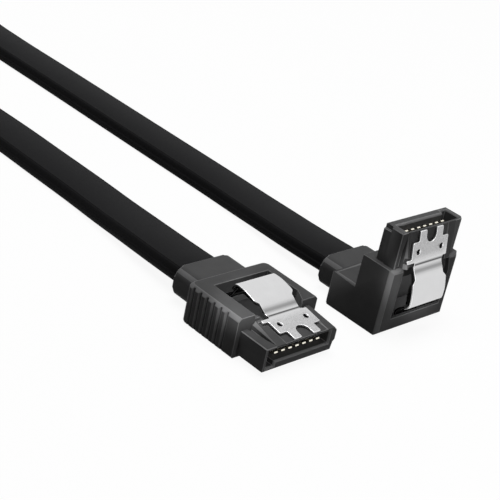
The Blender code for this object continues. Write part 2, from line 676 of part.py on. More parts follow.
def add_straight_overmould(frame, finish):
    """Block with round rear corners, chamfered top edges, side grips, window and collar."""
    rear = -STRAIGHT_LENGTH
    half = OVERMOULD_WIDTH / 2
    bottom, top = -STRAIGHT_LIFT, STRAIGHT_TOP
    small = OVERMOULD_EDGE / 2
    rings = [overmould_ring(bottom, small), overmould_ring(bottom + small, 0.0),
             overmould_ring(top - OVERMOULD_EDGE, 0.0), overmould_ring(top, OVERMOULD_EDGE)]
    body = make_object("straight_overmold", loft(rings), frame, finish)

    centre = STRAIGHT_CABLE_HEIGHT - STRAIGHT_LIFT
    section = rounded_box(COLLAR_WIDTH, COLLAR_HEIGHT, COLLAR_CORNER, (0, centre))
    collar = along_u(section, -STRAIGHT_REAR, rear + OVERMOULD_CORNER)
    bevel_edges(collar, lambda co: near(co.x, -STRAIGHT_REAR), OVERMOULD_EDGE / 2)
    boolean(body, "UNION", make_object("straight_collar", collar, frame))

    cut_window(body, frame, STRAIGHT_EXPOSED, STRAIGHT_WINDOW_REAR, top, STRAIGHT_WINDOW_FLOOR,
               STRAIGHT_WINDOW, STRAIGHT_FACET, 1)
    cut_tenon_pocket(body, frame, STRAIGHT_EXPOSED)

    seat = rounded_box(CABLE_WIDTH + 2 * CABLE_GAP, CABLE_THICKNESS + 2 * CABLE_GAP,
                       CABLE_CORNER + CABLE_GAP, (0, centre))
    bm = along_u(seat, -STRAIGHT_REAR - CUTTER_OVERRUN, -STRAIGHT_REAR + CABLE_SEAT + CABLE_GAP)
    boolean(body, "DIFFERENCE", make_object("straight_cable_seat", bm, frame))

    for side in (-1, 1):
        for i in range(GRIP_COUNT):
            middle = -GRIP_FIRST - i * GRIP_PITCH
            inner = side * (half - GRIP_DEPTH)
            outer = side * (half + GRIP_DEPTH)
            groove = [(middle - GRIP_WIDTH / 4, inner), (middle + GRIP_WIDTH / 4, inner),
                      (middle + 3 * GRIP_WIDTH / 4, outer), (middle - 3 * GRIP_WIDTH / 4, outer)]
            bm = along_w(groove, bottom - CUTTER_OVERRUN, top + CUTTER_OVERRUN)
            boolean(body, "DIFFERENCE", make_object(f"straight_grip_{side + 1}_{i}", bm, frame))
    return body


def add_angled_overmould(frame, finish):
    """L-shaped block: an upright that holds the head and a low foot with the cable's collar."""
    half = OVERMOULD_WIDTH / 2
    front, back = ANGLED_FRONT, ANGLED_FRONT - ANGLED_BLOCK_DEPTH
    heel = ANGLED_FRONT - ANGLED_FOOT_LENGTH
    top = -ANGLED_EXPOSED - SEAT_GAP
    bottom = -ANGLED_HEIGHT
    step = bottom + ANGLED_FOOT_HEIGHT
    profile = [(bottom, front), (top, front), (top, back), (step, back), (step, heel),
               (bottom, heel)]
    bm = along_v(profile, -half, half)
    bevel_edges(bm, lambda co: near(co.z, front) and near(abs(co.y), half), ANGLED_EDGE)
    bevel_edges(bm, lambda co: near(co.z, heel) and near(abs(co.y), half), ANGLED_EDGE, HEEL_STEPS)
    foot = [edge for edge in bm.edges
            if all(near(vert.co.x, step) and near(abs(vert.co.y), half) for vert in edge.verts)]
    bmesh.ops.bevel(bm, geom=foot, offset=OVERMOULD_EDGE, segments=1, profile=0.5,
                    affect="EDGES", clamp_overlap=True)
    body = make_object("angled_overmold", bm, frame, finish)

    centre = ANGLED_CABLE_HEIGHT - ANGLED_HEIGHT
    section = rounded_box(COLLAR_HEIGHT, COLLAR_WIDTH, COLLAR_CORNER, (centre, 0))
    collar = along_w(section, heel - ANGLED_COLLAR_LENGTH, heel + ANGLED_EDGE)
    bevel_edges(collar, lambda co: near(co.z, heel - ANGLED_COLLAR_LENGTH), OVERMOULD_EDGE / 2)
    boolean(body, "UNION", make_object("angled_collar", collar, frame))

    cut_window(body, frame, ANGLED_EXPOSED, ANGLED_WINDOW_REAR, front, ANGLED_WINDOW_FLOOR,
               ANGLED_WINDOW, ANGLED_FACET, -1)
    cut_tenon_pocket(body, frame, ANGLED_EXPOSED)

    seat = rounded_box(CABLE_THICKNESS + 2 * CABLE_GAP, CABLE_WIDTH + 2 * CABLE_GAP,
                       CABLE_CORNER + CABLE_GAP, (centre, 0))
    end = heel - ANGLED_COLLAR_LENGTH
    bm = along_w(seat, end - CUTTER_OVERRUN, end + CABLE_SEAT + CABLE_GAP)
    boolean(body, "DIFFERENCE", make_object("angled_cable_seat", bm, frame))
    return body


def resting_height(turn):
    """Height of the ribbon's centre where it lies on the surface, turned by this much."""
    angle = turn * math.pi / 2
    flat = (CABLE_THICKNESS / 2 - CABLE_CORNER) * np.cos(angle)
    edge = (CABLE_WIDTH / 2 - CABLE_CORNER) * np.sin(angle)
    return flat + edge + CABLE_CORNER + CABLE_FLOOR_GAP


def cable_stations():
    """Even stations along the cable: centre, direction and the ribbon's turn about it."""
    route = [(x * MM, y * MM, lift * MM, turn) for x, y, lift, turn in CABLE_ROUTE]
    start, end = [], []
    for past in (-CABLE_SEAT, 0, CABLE_WIDTH / 4):
        for point, line in ((STRAIGHT_EXIT, start), (ANGLED_EXIT, end)):
            line.append((point.x - past, point.y, point.z - resting_height(0), 0.0))
    fine = np.array(smooth_line(start + route + end[::-1], ROUTE_STEPS))
    fine[:, 3] = np.clip(fine[:, 3], 0, 1)
    fine[:, 2] += resting_height(fine[:, 3])
    steps = np.linalg.norm(np.diff(fine[:, :3], axis=0), axis=1)
    lengths = np.concatenate([[0.0], np.cumsum(steps)])
    count = round(lengths[-1] / CABLE_STATION)
    places = np.linspace(0, lengths[-1], count + 1)
    return np.stack([np.interp(places, lengths, fine[:, i]) for i in range(4)], axis=1)


def add_cable(finish):
    """The flat cable: its rounded section swept along the route and turned onto its edge."""
    stations = cable_stations()
    centres = stations[:, :3]
    ahead = np.gradient(centres, axis=0)
    ahead /= np.linalg.norm(ahead, axis=1)[:, None]
    ahead[0] = (-1, 0, 0)
    ahead[-1] = (1, 0, 0)
    section = rounded_box(CABLE_WIDTH, CABLE_THICKNESS, CABLE_CORNER, steps=CABLE_CORNER_STEPS)
    loops = []
    for centre, forward, turn in zip(centres, ahead, stations[:, 3]):
        level = np.cross((0, 0, 1), forward)
        level /= np.linalg.norm(level)
        upright = np.cross(forward, level)
        angle = turn * math.pi / 2
        across = level * math.cos(angle) + upright * math.sin(angle)
        over = upright * math.cos(angle) - level * math.sin(angle)
        loops.append([tuple(centre + across * a + over * b) for a, b in section])
    return make_object("ribbon_cable", loft(loops), None, finish)


def add_plug(prefix, frame, exposed, deck_sides, crest_place, hand, finishes):
    """The parts that both plugs have. The hand is -1 where latch and deck are mirrored."""
    add_housing(prefix + "_housing", frame, exposed, deck_sides, hand, finishes["housing"])
    add_contacts(prefix, frame, finishes["contact"])
    add_latch(prefix + "_latch", frame, crest_place, hand, finishes["latch"])


def main():
    clear_scene()
    finishes = {
        "housing": material("black housing", (0.045, 0.045, 0.048), 0.45),
        "overmould": material("black overmould", (0.06, 0.06, 0.063), 0.6),
        "latch": material("spring steel", (0.62, 0.62, 0.64), 0.3, 1.0),
        "contact": material("gold plate", (0.83, 0.62, 0.28), 0.25, 1.0),
        "cable": material("black jacket", (0.03, 0.03, 0.032), 0.5),
    }
    straight = frame_empty("straight_plug", STRAIGHT_FRAME)
    angled = frame_empty("angled_plug", ANGLED_FRAME)
    add_plug("straight", straight, STRAIGHT_EXPOSED, STRAIGHT_DECK, STRAIGHT_CREST, 1, finishes)
    add_straight_overmould(straight, finishes["overmould"])
    add_plug("angled", angled, ANGLED_EXPOSED, ANGLED_DECK, ANGLED_CREST, -1, finishes)
    add_angled_overmould(angled, finishes["overmould"])
    add_cable(finishes["cable"])


main()
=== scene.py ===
"""Looks of the serial data lead: its plugs, sprung latches, contacts and flat cable.

Laid out as an add-on and run as a script. Metres, +Z up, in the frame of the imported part.
Each plug is dressed in its own plug frame: u the way it is pushed in, v across the contacts and
w towards its latch, with zero at the middle of the lower edge of the mating face.
"""

import math

import bmesh
import bpy
import numpy as np
from bpy.props import FloatProperty, FloatVectorProperty, IntProperty, PointerProperty
from mathutils import Matrix, Vector


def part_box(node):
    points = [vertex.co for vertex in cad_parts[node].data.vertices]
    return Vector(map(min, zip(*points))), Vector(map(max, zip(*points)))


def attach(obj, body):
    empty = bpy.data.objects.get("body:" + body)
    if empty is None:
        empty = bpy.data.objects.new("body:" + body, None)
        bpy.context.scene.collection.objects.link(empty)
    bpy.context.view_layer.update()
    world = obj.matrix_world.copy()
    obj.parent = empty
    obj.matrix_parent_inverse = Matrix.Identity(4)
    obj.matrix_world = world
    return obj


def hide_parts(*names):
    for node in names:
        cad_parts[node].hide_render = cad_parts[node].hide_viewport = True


bl_info = {
    "name": "Serial Data Lead",
    "version": (1, 0, 0),
    "blender": (4, 5, 0),
    "location": "View3D > Sidebar > Data Lead",
    "description": "Dresses a flat data lead with two latching plugs",
    "category": "Object",
}

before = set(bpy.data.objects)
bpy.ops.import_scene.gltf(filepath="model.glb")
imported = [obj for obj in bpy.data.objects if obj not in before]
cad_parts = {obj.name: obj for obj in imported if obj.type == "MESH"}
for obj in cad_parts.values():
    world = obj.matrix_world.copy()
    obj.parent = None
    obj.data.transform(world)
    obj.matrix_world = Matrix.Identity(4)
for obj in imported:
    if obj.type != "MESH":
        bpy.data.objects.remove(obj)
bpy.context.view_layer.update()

MM = 0.001
CARRIER = "plugs_and_cable"
PREFIXES = ("straight", "angled")

# Places of the plugs, read from the frame's own solids
STRAIGHT_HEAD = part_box("straight_housing")
ANGLED_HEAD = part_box("angled_housing")
STRAIGHT_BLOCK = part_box("straight_overmold")
ANGLED_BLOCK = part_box("angled_overmold")
STRAIGHT_FRAME = Matrix.Translation((
    STRAIGHT_HEAD[1].x, (STRAIGHT_BLOCK[0].y + STRAIGHT_BLOCK[1].y) / 2, STRAIGHT_HEAD[0].z))
ANGLED_FRAME = Matrix((
    (0, 0, 1, ANGLED_HEAD[0].x),
    (0, -1, 0, (ANGLED_BLOCK[0].y + ANGLED_BLOCK[1].y) / 2),
    (1, 0, 0, ANGLED_HEAD[1].z),
    (0, 0, 0, 1),
))
FRAMES = {"straight": STRAIGHT_FRAME, "angled": ANGLED_FRAME}

# Moulded pieces: points this near are one, turns below the first are flat, turns above the second
# are sharp, and an edge is rounded where its neighbours are this many radii long
WELD_GAP = 0.0005 * MM
FLAT_TURN = math.radians(1)
SHARP_TURN = math.radians(28)
EDGE_ROOM = 2.3

# Chamfers, faces that lean more than this from every axis, get the painted highlight of rounded
# edges
CHAMFER_COSINE = math.cos(math.radians(25))

# Turns up to which the pieces are shaded smooth
MOULDED_SMOOTH = math.radians(30)
LATCH_SMOOTH = math.radians(20)
CONTACT_SMOOTH = math.radians(40)

# Latch strip, with the values of the part's source; places are (u, w) in the plug frame, and the
# angled plug's latch has its outline mirrored
HANDS = {"straight": 1, "angled": -1}
CRESTS = {"straight": Vector((-10.7 * MM, 6.1 * MM)), "angled": Vector((-10.4 * MM, 5.9 * MM))}
LATCH_TIP = Vector((-0.05 * MM, 3.6145 * MM))
LATCH_SHIFT = 0.75 * MM
LATCH_STEPS = 8
PLATE_WIDTH = 7.3 * MM
PLATE_LENGTH = 4.3 * MM
PLATE_SLOPE = 0.17
PRONG_OUTER = 2.4 * MM
PRONG_INNER = 1.05 * MM
PRONG_LENGTH = 1.5 * MM
PRONG_SLOT_SETBACK = 0.85 * MM
PRONG_SLOT_STEPS = 20
TAB_LENGTH = 0.9 * MM
TAB_WIDTH = 0.5 * MM
NECK_START = [Vector((-0.3 * MM, 0.025 * MM)), Vector((-0.9 * MM, 0.1 * MM))]
NECK_WIDTH = 5.9 * MM
NECK_LENGTH = 2.5 * MM
NECK_RISE = 0.62
ARM_WIDTH = 7.0 * MM
ARM_END_WIDTH = 6.8 * MM
ARM_SWELL = 0.2 * MM
CREST_BEND = 0.3 * MM
HOOK_HEEL = Vector((-12.45 * MM, 3.1 * MM))
HOOK_END = Vector((-13.35 * MM, 3.1 * MM))
HOOK_BEND = 0.4 * MM
HOOK_WIDTH = 4.6 * MM
HOOK_TONGUE = 3.1 * MM

# Corners of the strip's outline: those with a half angle above this one stay as they are, and the
# others are rounded over at most this share of their sides
FILLET_LEAST = math.radians(75)
FILLET_SHARE = 0.45
FILLET_STEPS = 5

# Turn in radians above which an edge of the flat strip is a cut edge
RIM_TURN = 1.0

# Lanced tongues on the latch plate, each bent up from the side of a round hole
LANCE_SETBACK = 2.95 * MM
LANCE_SPACING = 4.8 * MM
LANCE_HOLE = 0.42 * MM
LANCE_HOLE_STEPS = 40
LANCE_WIDTH = 0.5 * MM
LANCE_LENGTH = 0.6 * MM
LANCE_THICKNESS = 0.12 * MM
LANCE_RISE = 0.38 * MM
LANCE_TAPER = 0.75
LANCE_CURL = 1.4
LANCE_STEPS = 8

# Bands of painted shade across the strip: distance behind the plate's end, half width and depth
PAINTED_SHADE_BANDS = [(0.34 * MM, 0.17 * MM, 1.0), (1.35 * MM, 0.4 * MM, 0.6)]

# The plate's grain ends the first length short of the plate's end and fades over the second
BRIGHT_STRIP = 0.3 * MM
PLATE_FADE = 0.13 * MM

# Behind the crest the strip darkens with painted shadow from this far past it, over the same length
HOOK_SHADE = 0.5 * MM

# Camera's nearest distance and half the side of the floor
CLIP_START = 1 * MM
FLOOR_REACH = 3.0

# Lamps: places and size of the large ones, which look at the origin
KEY_PLACE = Vector((-0.06, 0.02, 0.65))
FILL_PLACE = Vector((0.5, -0.05, 0.22))
LAMP_SIZE = 0.4

# Lamps on the latch windows: point they look at as (u, v, w) in the plug frame, and their place
# from there
WINDOW_AIM = (-9.2 * MM, 1.4 * MM, 3.6 * MM)
WINDOW_LAMP_OFFSET = Vector((0.25, -0.32, 0.26))
WINDOW_LAMP_RADIUS = 1 * MM
WINDOW_CONE = math.radians(1.2)

# Contact strip's middle line as (u, w), from its tail in the housing to its tip
CONTACT_LINE = [(-4.8 * MM, 2.78 * MM), (-3.5 * MM, 2.78 * MM), (-2.4 * MM, 2.45 * MM),
                (-1.4 * MM, 1.63 * MM), (-0.75 * MM, 1.88 * MM)]
CONTACT_STEPS = 10
CONTACT_CORNER_STEPS = 3

# Cable, with the route of the part's source: x and y in mm, the lift above lying on the surface
# in mm, and the quarter turns made by the ribbon
CABLE_SEAT = 2.2 * MM
CABLE_FLOOR_GAP = 0.02 * MM
CABLE_SPACING = 2.0 * MM
CABLE_CORNER_STEPS = 6
JACKET_LINE_WIDTH = 0.12 * MM
STRAIGHT_CABLE_HEIGHT = 2.85 * MM
ANGLED_CABLE_HEIGHT = 2.65 * MM
STRAIGHT_EXIT = Vector((STRAIGHT_BLOCK[0].x, STRAIGHT_FRAME.translation.y, STRAIGHT_CABLE_HEIGHT))
ANGLED_EXIT = Vector((ANGLED_BLOCK[0].x, ANGLED_FRAME.translation.y, ANGLED_CABLE_HEIGHT))
ROUTE_STEPS = 24
CABLE_ROUTE = [
    (-15.8, -10.9, 1.40, 0.0), (-20.8, -10.5, 1.08, 0.0), (-26.8, -9.85, 0.60, 0.0),
    (-32.8, -9.3, 0.18, 0.0), (-40.5, -8.9, 0.0, 0.0), (-50.5, -8.9, 0.0, 0.0),
    (-60.5, -8.9, 0.0, 0.0), (-72.5, -9.3, 0.0, 0.03), (-84.5, -10.2, 0.0, 0.3),
    (-96.5, -11.6, 0.0, 0.75), (-108.5, -13.4, 0.0, 1.0), (-124.5, -16.8, 0.0, 1.0),
    (-141.6, -20.9, 0.0, 1.0), (-158.6, -24.3, 0.0, 1.0), (-174.6, -25.2, 0.0, 1.0),
    (-189.6, -21.4, 0.0, 1.0), (-200.6, -12.0, 0.0, 1.0), (-205.1, 2.0, 0.0, 1.0),
    (-200.6, 16.1, 0.0, 1.0), (-189.6, 25.5, 0.0, 1.0), (-174.6, 29.3, 0.0, 1.0),
    (-158.6, 28.4, 0.0, 1.0), (-143.6, 24.6, 0.0, 0.98), (-130.6, 20.2, 0.0, 0.75),
    (-118.5, 16.2, 0.0, 0.3), (-106.5, 13.8, 0.0, 0.03), (-94.5, 13.2, 0.0, 0.0),
    (-78.5, 13.25, 0.0, 0.0), (-62.5, 13.25, 0.0, 0.0), (-46.5, 13.25, 0.0, 0.0),
    (-34.5, 13.25, 0.0, 0.0), (-26.8, 12.9, 0.17, 0.0), (-20.8, 12.3, 0.55, 0.0),
    (-14.8, 11.6, 0.98, 0.0), (-9.2, 11.2, 1.32, 0.0),
]


class StageSettings(bpy.types.PropertyGroup):
    """Camera, floor and lights."""

    camera_place: FloatVectorProperty(
        name="Camera place", description="Where the camera stands", subtype="TRANSLATION",
        unit="LENGTH", default=(0.099094, -0.126475, 0.088693))
    camera_turn: FloatVectorProperty(
        name="Camera turn", description="The camera's rotation about X, Y and Z",
        subtype="EULER", default=(math.radians(62.585), math.radians(-10.952), math.radians(47.203)))
    view_angle: FloatProperty(
        name="View angle", description="Angle that the camera sees across the picture",
        subtype="ANGLE", default=math.radians(21.219))
    key_power: FloatProperty(
        name="Key light", description="Power of the large lamp overhead", unit="POWER",
        default=2.3)
    fill_power: FloatProperty(
        name="Fill light", description="Power of the lamp in front of the plugs", unit="POWER",
        default=0.5)
    window_power: FloatProperty(
        name="Window light", description="Power of each narrow lamp on a latch window",
        unit="POWER", default=6.5)
    room_light: FloatProperty(
        name="Room light", description="Strength of the light from all round", default=0.02)
    floor_grey: FloatProperty(
        name="Floor", description="Grey of the floor, which lights the lead from below",
        subtype="FACTOR", min=0.0, max=1.0, default=0.125)
    floor_glow: FloatProperty(
        name="Floor glow", description="Extra brightness of the floor as the camera sees it",
        default=0.92)


class CableSettings(bpy.types.PropertyGroup):
    """The flat cable."""

    width: FloatProperty(
        name="Width", description="Width of the flat cable", unit="LENGTH", default=7.2 * MM)
    thickness: FloatProperty(
        name="Thickness", description="Thickness of the flat cable", unit="LENGTH",
        default=2.4 * MM)
    corner: FloatProperty(
        name="Corner", description="Radius of the cable's long edges", unit="LENGTH",
        default=0.4 * MM)
    colour: FloatVectorProperty(
        name="Jacket", description="Colour of the jacket", subtype="COLOR",
        default=(0.019, 0.019, 0.020))


class PlasticSettings(bpy.types.PropertyGroup):
    """The moulded pieces."""

    edge: FloatProperty(
        name="Edge radius", description="Rounding of the moulded edges", unit="LENGTH",
        default=0.08 * MM)
    housing_colour: FloatVectorProperty(
        name="Housing", description="Colour of the moulded heads", subtype="COLOR",
        default=(0.112, 0.112, 0.113))
    overmould_colour: FloatVectorProperty(
        name="Overmould", description="Colour of the overmoulds", subtype="COLOR",
        default=(0.115, 0.115, 0.116))


class LatchSettings(bpy.types.PropertyGroup):
    """The pressed latches."""

    thickness: FloatProperty(
        name="Strip", description="Thickness of the latch strip", unit="LENGTH",
        default=0.26 * MM)
    corner: FloatProperty(
        name="Corner", description="Radius of the corners of the strip's outline", unit="LENGTH",
        default=0.22 * MM)
    rim: FloatProperty(
        name="Rim", description="Rounding of the strip's cut edges", unit="LENGTH",
        default=0.04 * MM)
    colour: FloatVectorProperty(
        name="Steel", description="Colour of the latch steel", subtype="COLOR",
        default=(0.66, 0.66, 0.665))


class ContactSettings(bpy.types.PropertyGroup):
    """The sprung contacts."""

    width: FloatProperty(
        name="Width", description="Width of a contact strip", unit="LENGTH", default=0.62 * MM)
    thickness: FloatProperty(
        name="Thickness", description="Thickness of a contact strip", unit="LENGTH",
        default=0.2 * MM)
    corner: FloatProperty(
        name="Corner", description="Rounding of a contact strip's edges", unit="LENGTH",
        default=0.05 * MM)
    pitch: FloatProperty(
        name="Pitch", description="Distance from one contact to the next", unit="LENGTH",
        default=1.27 * MM)
    count: IntProperty(
        name="Contacts", description="How many contacts a plug has", default=7)
    colour: FloatVectorProperty(
        name="Plating", description="Colour of the contacts' plating", subtype="COLOR",
        default=(0.92, 0.88, 0.76))


class Sock:
    """A shader socket that Python's operators work on."""

    def __init__(self, graph, socket):
        self.graph = graph
        self.socket = socket

    def math(self, operation, *others):
        return self.graph.node("ShaderNodeMath", {"operation": operation},
                               dict(enumerate((self, *others))))

    def __add__(self, other):
        return self.math("ADD", other)

    def __sub__(self, other):
        return self.math("SUBTRACT", other)

    def __rsub__(self, other):
        return self.graph.node("ShaderNodeMath", {"operation": "SUBTRACT"}, {0: other, 1: self})

    def __mul__(self, other):
        return self.math("MULTIPLY", other)

    __radd__ = __add__
    __rmul__ = __mul__


class Graph:
    """The node tree of a material or a world that is being written."""

    def __init__(self, owner):
        owner.use_nodes = True
        self.owner = owner
        self.tree = owner.node_tree

    def node(self, kind, settings=None, inputs=None, output=0):
        """Adds a node with its settings, then its values or links, and gives one output."""
        made = self.tree.nodes.new(kind)
        for name, value in (settings or {}).items():
            setattr(made, name, value)
        for name, value in (inputs or {}).items():
            self.put(made.inputs[name], value)
        return Sock(self, made.outputs[output])

    def put(self, socket, value):
        """Gives a socket its link or its value."""
        if isinstance(value, Sock):
            self.tree.links.new(value.socket, socket)
        elif isinstance(value, (tuple, list)) and socket.type == "RGBA":
            socket.default_value = (*value[:3], 1)
        else:
            socket.default_value = value

    def place(self):
        return self.node("ShaderNodeTexCoord", output="Object")

    def stored(self, name, output="Fac"):
        return self.node("ShaderNodeAttribute", {"attribute_name": name}, output=output)

    def noise(self, vector, scale, detail):
        return self.node("ShaderNodeTexNoise", inputs={
            "Vector": vector, "Scale": scale, "Detail": detail})

    def stretched(self, vector, scale):
        return self.node("ShaderNodeMapping", inputs={"Vector": vector, "Scale": scale})

    def blend(self, factor, first, second):
        return self.node("ShaderNodeMix", {"data_type": "RGBA"},
                         {0: factor, "A": first, "B": second}, output="Result")

    def shaded(self, factor, colour, low, high):
        """The colour, from one share of its brightness to another."""
        return self.blend(factor, shade(colour, low), shade(colour, high))

    def bump(self, height, distance, strength):
        return self.node("ShaderNodeBump", inputs={
            "Height": height, "Distance": distance, "Strength": strength})

    def seen_by(self, first, *others):
        """1 where one of these outputs of Light Path is 1, and 0 elsewhere."""
        seen = self.node("ShaderNodeLightPath", output=first)
        for name in others:
            seen = seen.math("MAXIMUM", self.node("ShaderNodeLightPath", output=name))
        return seen

    def end(self, node, values):
        """Gives a node that the tree has from the start its values or links."""
        for name, value in values.items():
            self.put(self.tree.nodes[node].inputs[name], value)
        return self.owner


def shade(colour, share):
    """A colour made lighter or darker by a share."""
    return tuple(min(1.0, part * share) for part in colour)


def plastic_material(name, colour, roughness, painted_highlight, grain, specular):
    """Moulded plastic: fine spark grain, cloudy gloss and painted highlights on moulded edges."""
    graph = Graph(bpy.data.materials.new(name))
    place = graph.place()
    cloud = graph.noise(place, scale=420.0, detail=4.0)
    fine = graph.noise(place, scale=grain, detail=2.0)
    # The edge attribute marks rounded edges and chamfers, which get a painted highlight
    edge = graph.stored("edge")
    body = graph.shaded(cloud, colour, low=0.86, high=1.14)
    return graph.end("Principled BSDF", {
        "Base Color": graph.blend(edge * (0.55 + 0.6 * cloud), body, shade(colour, painted_highlight)),
        "Roughness": roughness - 0.07 + 0.1 * cloud + 0.06 * fine,
        "Specular IOR Level": specular,
        "Normal": graph.bump(fine, distance=0.012 * MM, strength=0.6)})


def jacket_material(settings):
    """Extruded jacket: faint streaks, fine grain and a pressed line with painted shade near each
    edge.
    """
    graph = Graph(bpy.data.materials.new("black jacket"))
    run = graph.stored("run", "Vector")
    place = graph.place()
    across = graph.node("ShaderNodeSeparateXYZ", inputs={0: run}, output="Y").math("ABSOLUTE")
    # The pressed groove by each edge is a bump, and its shade is painted into the colour as a dark
    # line
    aside = (across - (settings.width / 2 - settings.corner)).math("ABSOLUTE")
    line = 1.0 - aside.math("DIVIDE", JACKET_LINE_WIDTH).math("MINIMUM", 1.0)
    streak = graph.noise(graph.stretched(run, (60.0, 9000.0, 9000.0)), scale=1.0, detail=2.0)
    cloud = graph.noise(place, scale=160.0, detail=3.0)
    fine = graph.noise(place, scale=9000.0, detail=2.0)
    colour = graph.shaded(cloud, settings.colour, low=0.88, high=1.12)
    streaked = graph.blend(streak * 0.5, colour, shade(settings.colour, 1.35))
    height = streak * 0.6 + fine * 0.4 - line
    return graph.end("Principled BSDF", {
        "Base Color": graph.blend(line, streaked, shade(settings.colour, 0.1)),
        "Roughness": 0.44 + 0.12 * cloud,
        "Specular IOR Level": 0.015,
        "Normal": graph.bump(height, distance=0.014 * MM, strength=0.7)})


def steel_material(settings):
    """Pressed spring steel: a satin plate, a smoother arm and rolling marks along the strip."""
    graph = Graph(bpy.data.materials.new("spring steel"))
    strip = graph.stored("strip", "Vector")
    place = graph.place()
    plate = graph.stored("plate")
    lines = graph.noise(graph.stretched(strip, (900.0, 26000.0, 1.0)), scale=1.0, detail=3.0)
    speck = graph.noise(place, scale=6500.0, detail=2.0)
    cloud = graph.noise(place, scale=700.0, detail=3.0)
    bright = graph.shaded(lines * 0.6 + cloud * 0.4, settings.colour, low=0.94, high=1.1)
    grainy = graph.shaded(speck * 2.2 - 0.6, settings.colour, low=0.4, high=0.82)
    satin = graph.blend(plate * 0.8, bright, grainy)
    # Painted shade across the neck's bends, and painted shadow over the hook past the crest
    banded = graph.blend(graph.stored("painted_shade"), satin, shade(settings.colour, 0.06))
    height = lines * 0.3 + speck * plate
    # Faces marked edge, the rounded rims and the lanced tongues, get a painted highlight
    return graph.end("Principled BSDF", {
        "Base Color": graph.blend(graph.stored("edge") * 0.9, banded, shade(settings.colour, 1.5)),
        "Roughness": 0.17 + 0.2 * plate + 0.05 * cloud,
        "Metallic": 1.0,
        "Normal": graph.bump(height, distance=0.004 * MM, strength=0.5)})


def plating_material(settings):
    """Thin bright plating, a little uneven."""
    graph = Graph(bpy.data.materials.new("contact plating"))
    cloud = graph.noise(graph.place(), scale=2500.0, detail=3.0)
    return graph.end("Principled BSDF", {
        "Base Color": graph.shaded(cloud, settings.colour, low=0.9, high=1.08),
        "Roughness": 0.2 + 0.12 * cloud,
        "Metallic": 1.0,
        "Normal": graph.bump(cloud, distance=0.003 * MM, strength=0.4)})


def floor_material(settings):
    """Pale floor that the camera sees as white, with the lead's soft shadow kept."""
    graph = Graph(bpy.data.materials.new("pale floor"))
    seen = graph.seen_by("Is Camera Ray", "Is Glossy Ray", "Is Transmission Ray")
    cloud = graph.noise(graph.place(), scale=30.0, detail=2.0)
    colour = graph.shaded(cloud, [settings.floor_grey] * 3, low=0.96, high=1.04)
    shadowed = graph.node("ShaderNodeBsdfDiffuse", inputs={"Color": colour})
    glow = graph.node("ShaderNodeEmission", inputs={
        "Color": (1, 1, 1), "Strength": settings.floor_glow})
    white = graph.node("ShaderNodeAddShader", inputs={0: shadowed, 1: glow})
    mixed = graph.node("ShaderNodeMixShader", inputs={0: seen, 1: shadowed, 2: white})
    return graph.end("Material Output", {"Surface": mixed})


def white_world(strength):
    """A world that lights softly and is white where the camera or a reflection sees it."""
    graph = Graph(bpy.data.worlds.new("studio"))
    seen = graph.seen_by("Is Camera Ray", "Is Glossy Ray")
    return graph.end("Background", {
        "Color": (1, 1, 1), "Strength": strength + (1.0 - strength) * seen})


def link(item):
    """Puts an object into the scene."""
    bpy.context.scene.collection.objects.link(item)
    return item


def mesh_from(bm, name):
    """The finished mesh, with the bmesh freed."""
    mesh = bpy.data.meshes.new(name)
    bm.to_mesh(mesh)
    bm.free()
    return mesh


def new_piece(name, mesh, finish, body, slot, *nodes):
    """Puts a finished mesh on its body, in place of the nodes that it stands for."""
    mesh.materials.clear()
    mesh.materials.append(finish)
    piece = link(bpy.data.objects.new(name, mesh))
    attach(piece, body)
    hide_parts(*nodes)
    return piece


def new_lamp(name, kind, power, place, aim):
    """Puts a lamp at its place, turned towards a point, and gives its data."""
    data = bpy.data.lights.new(name, kind)
    data.energy = power
    lamp = link(bpy.data.objects.new(name, data))
    lamp.location = place
    lamp.rotation_euler = (aim - place).to_track_quat("-Z", "Y").to_euler()
    return data


def smooth_line(points, steps):
    """Points along a smooth curve through the given ones."""
    line = [np.array(point, float) for point in points]
    line = [2 * line[0] - line[1]] + line + [2 * line[-1] - line[-2]]
    result = []
    for i in range(1, len(line) - 2):
        before, start, end, after = line[i - 1:i + 3]
        for step in range(steps):
            t = step / steps
            result.append(0.5 * (2 * start + (end - before) * t
                                 + (2 * before - 5 * start + 4 * end - after) * t ** 2
                                 + (3 * start - before - 3 * end + after) * t ** 3))
    result.append(line[-2])
    return np.array(result)


def distances(line):
    """How far each point of a line is along it."""
    steps = np.linalg.norm(np.diff(line, axis=0), axis=1)
    return np.concatenate([[0.0], np.cumsum(steps)])


def resting_height(turn, settings):
    """Height of the ribbon's centre where it lies on the surface, turned by this much."""
    angle = turn * math.pi / 2
    flat = (settings.thickness / 2 - settings.corner) * np.cos(angle)
    edge = (settings.width / 2 - settings.corner) * np.sin(angle)
    return flat + edge + settings.corner + CABLE_FLOOR_GAP


def cable_line(settings):
    """Even stations along the cable's centre line, with the ribbon's turn at each."""
    route = [(x * MM, y * MM, lift * MM, turn) for x, y, lift, turn in CABLE_ROUTE]
    start, end = [], []
    for past in (-CABLE_SEAT, 0, settings.width / 4):
        for point, line in ((STRAIGHT_EXIT, start), (ANGLED_EXIT, end)):
            line.append((point.x - past, point.y, point.z - resting_height(0, settings), 0.0))
    fine = smooth_line(start + route + end[::-1], ROUTE_STEPS)
    fine[:, 3] = np.clip(fine[:, 3], 0, 1)
    fine[:, 2] += resting_height(fine[:, 3], settings)
    lengths = distances(fine[:, :3])
    places = np.linspace(0, lengths[-1], round(lengths[-1] / CABLE_SPACING) + 1)
    return np.stack([np.interp(places, lengths, column) for column in fine.T], axis=1)


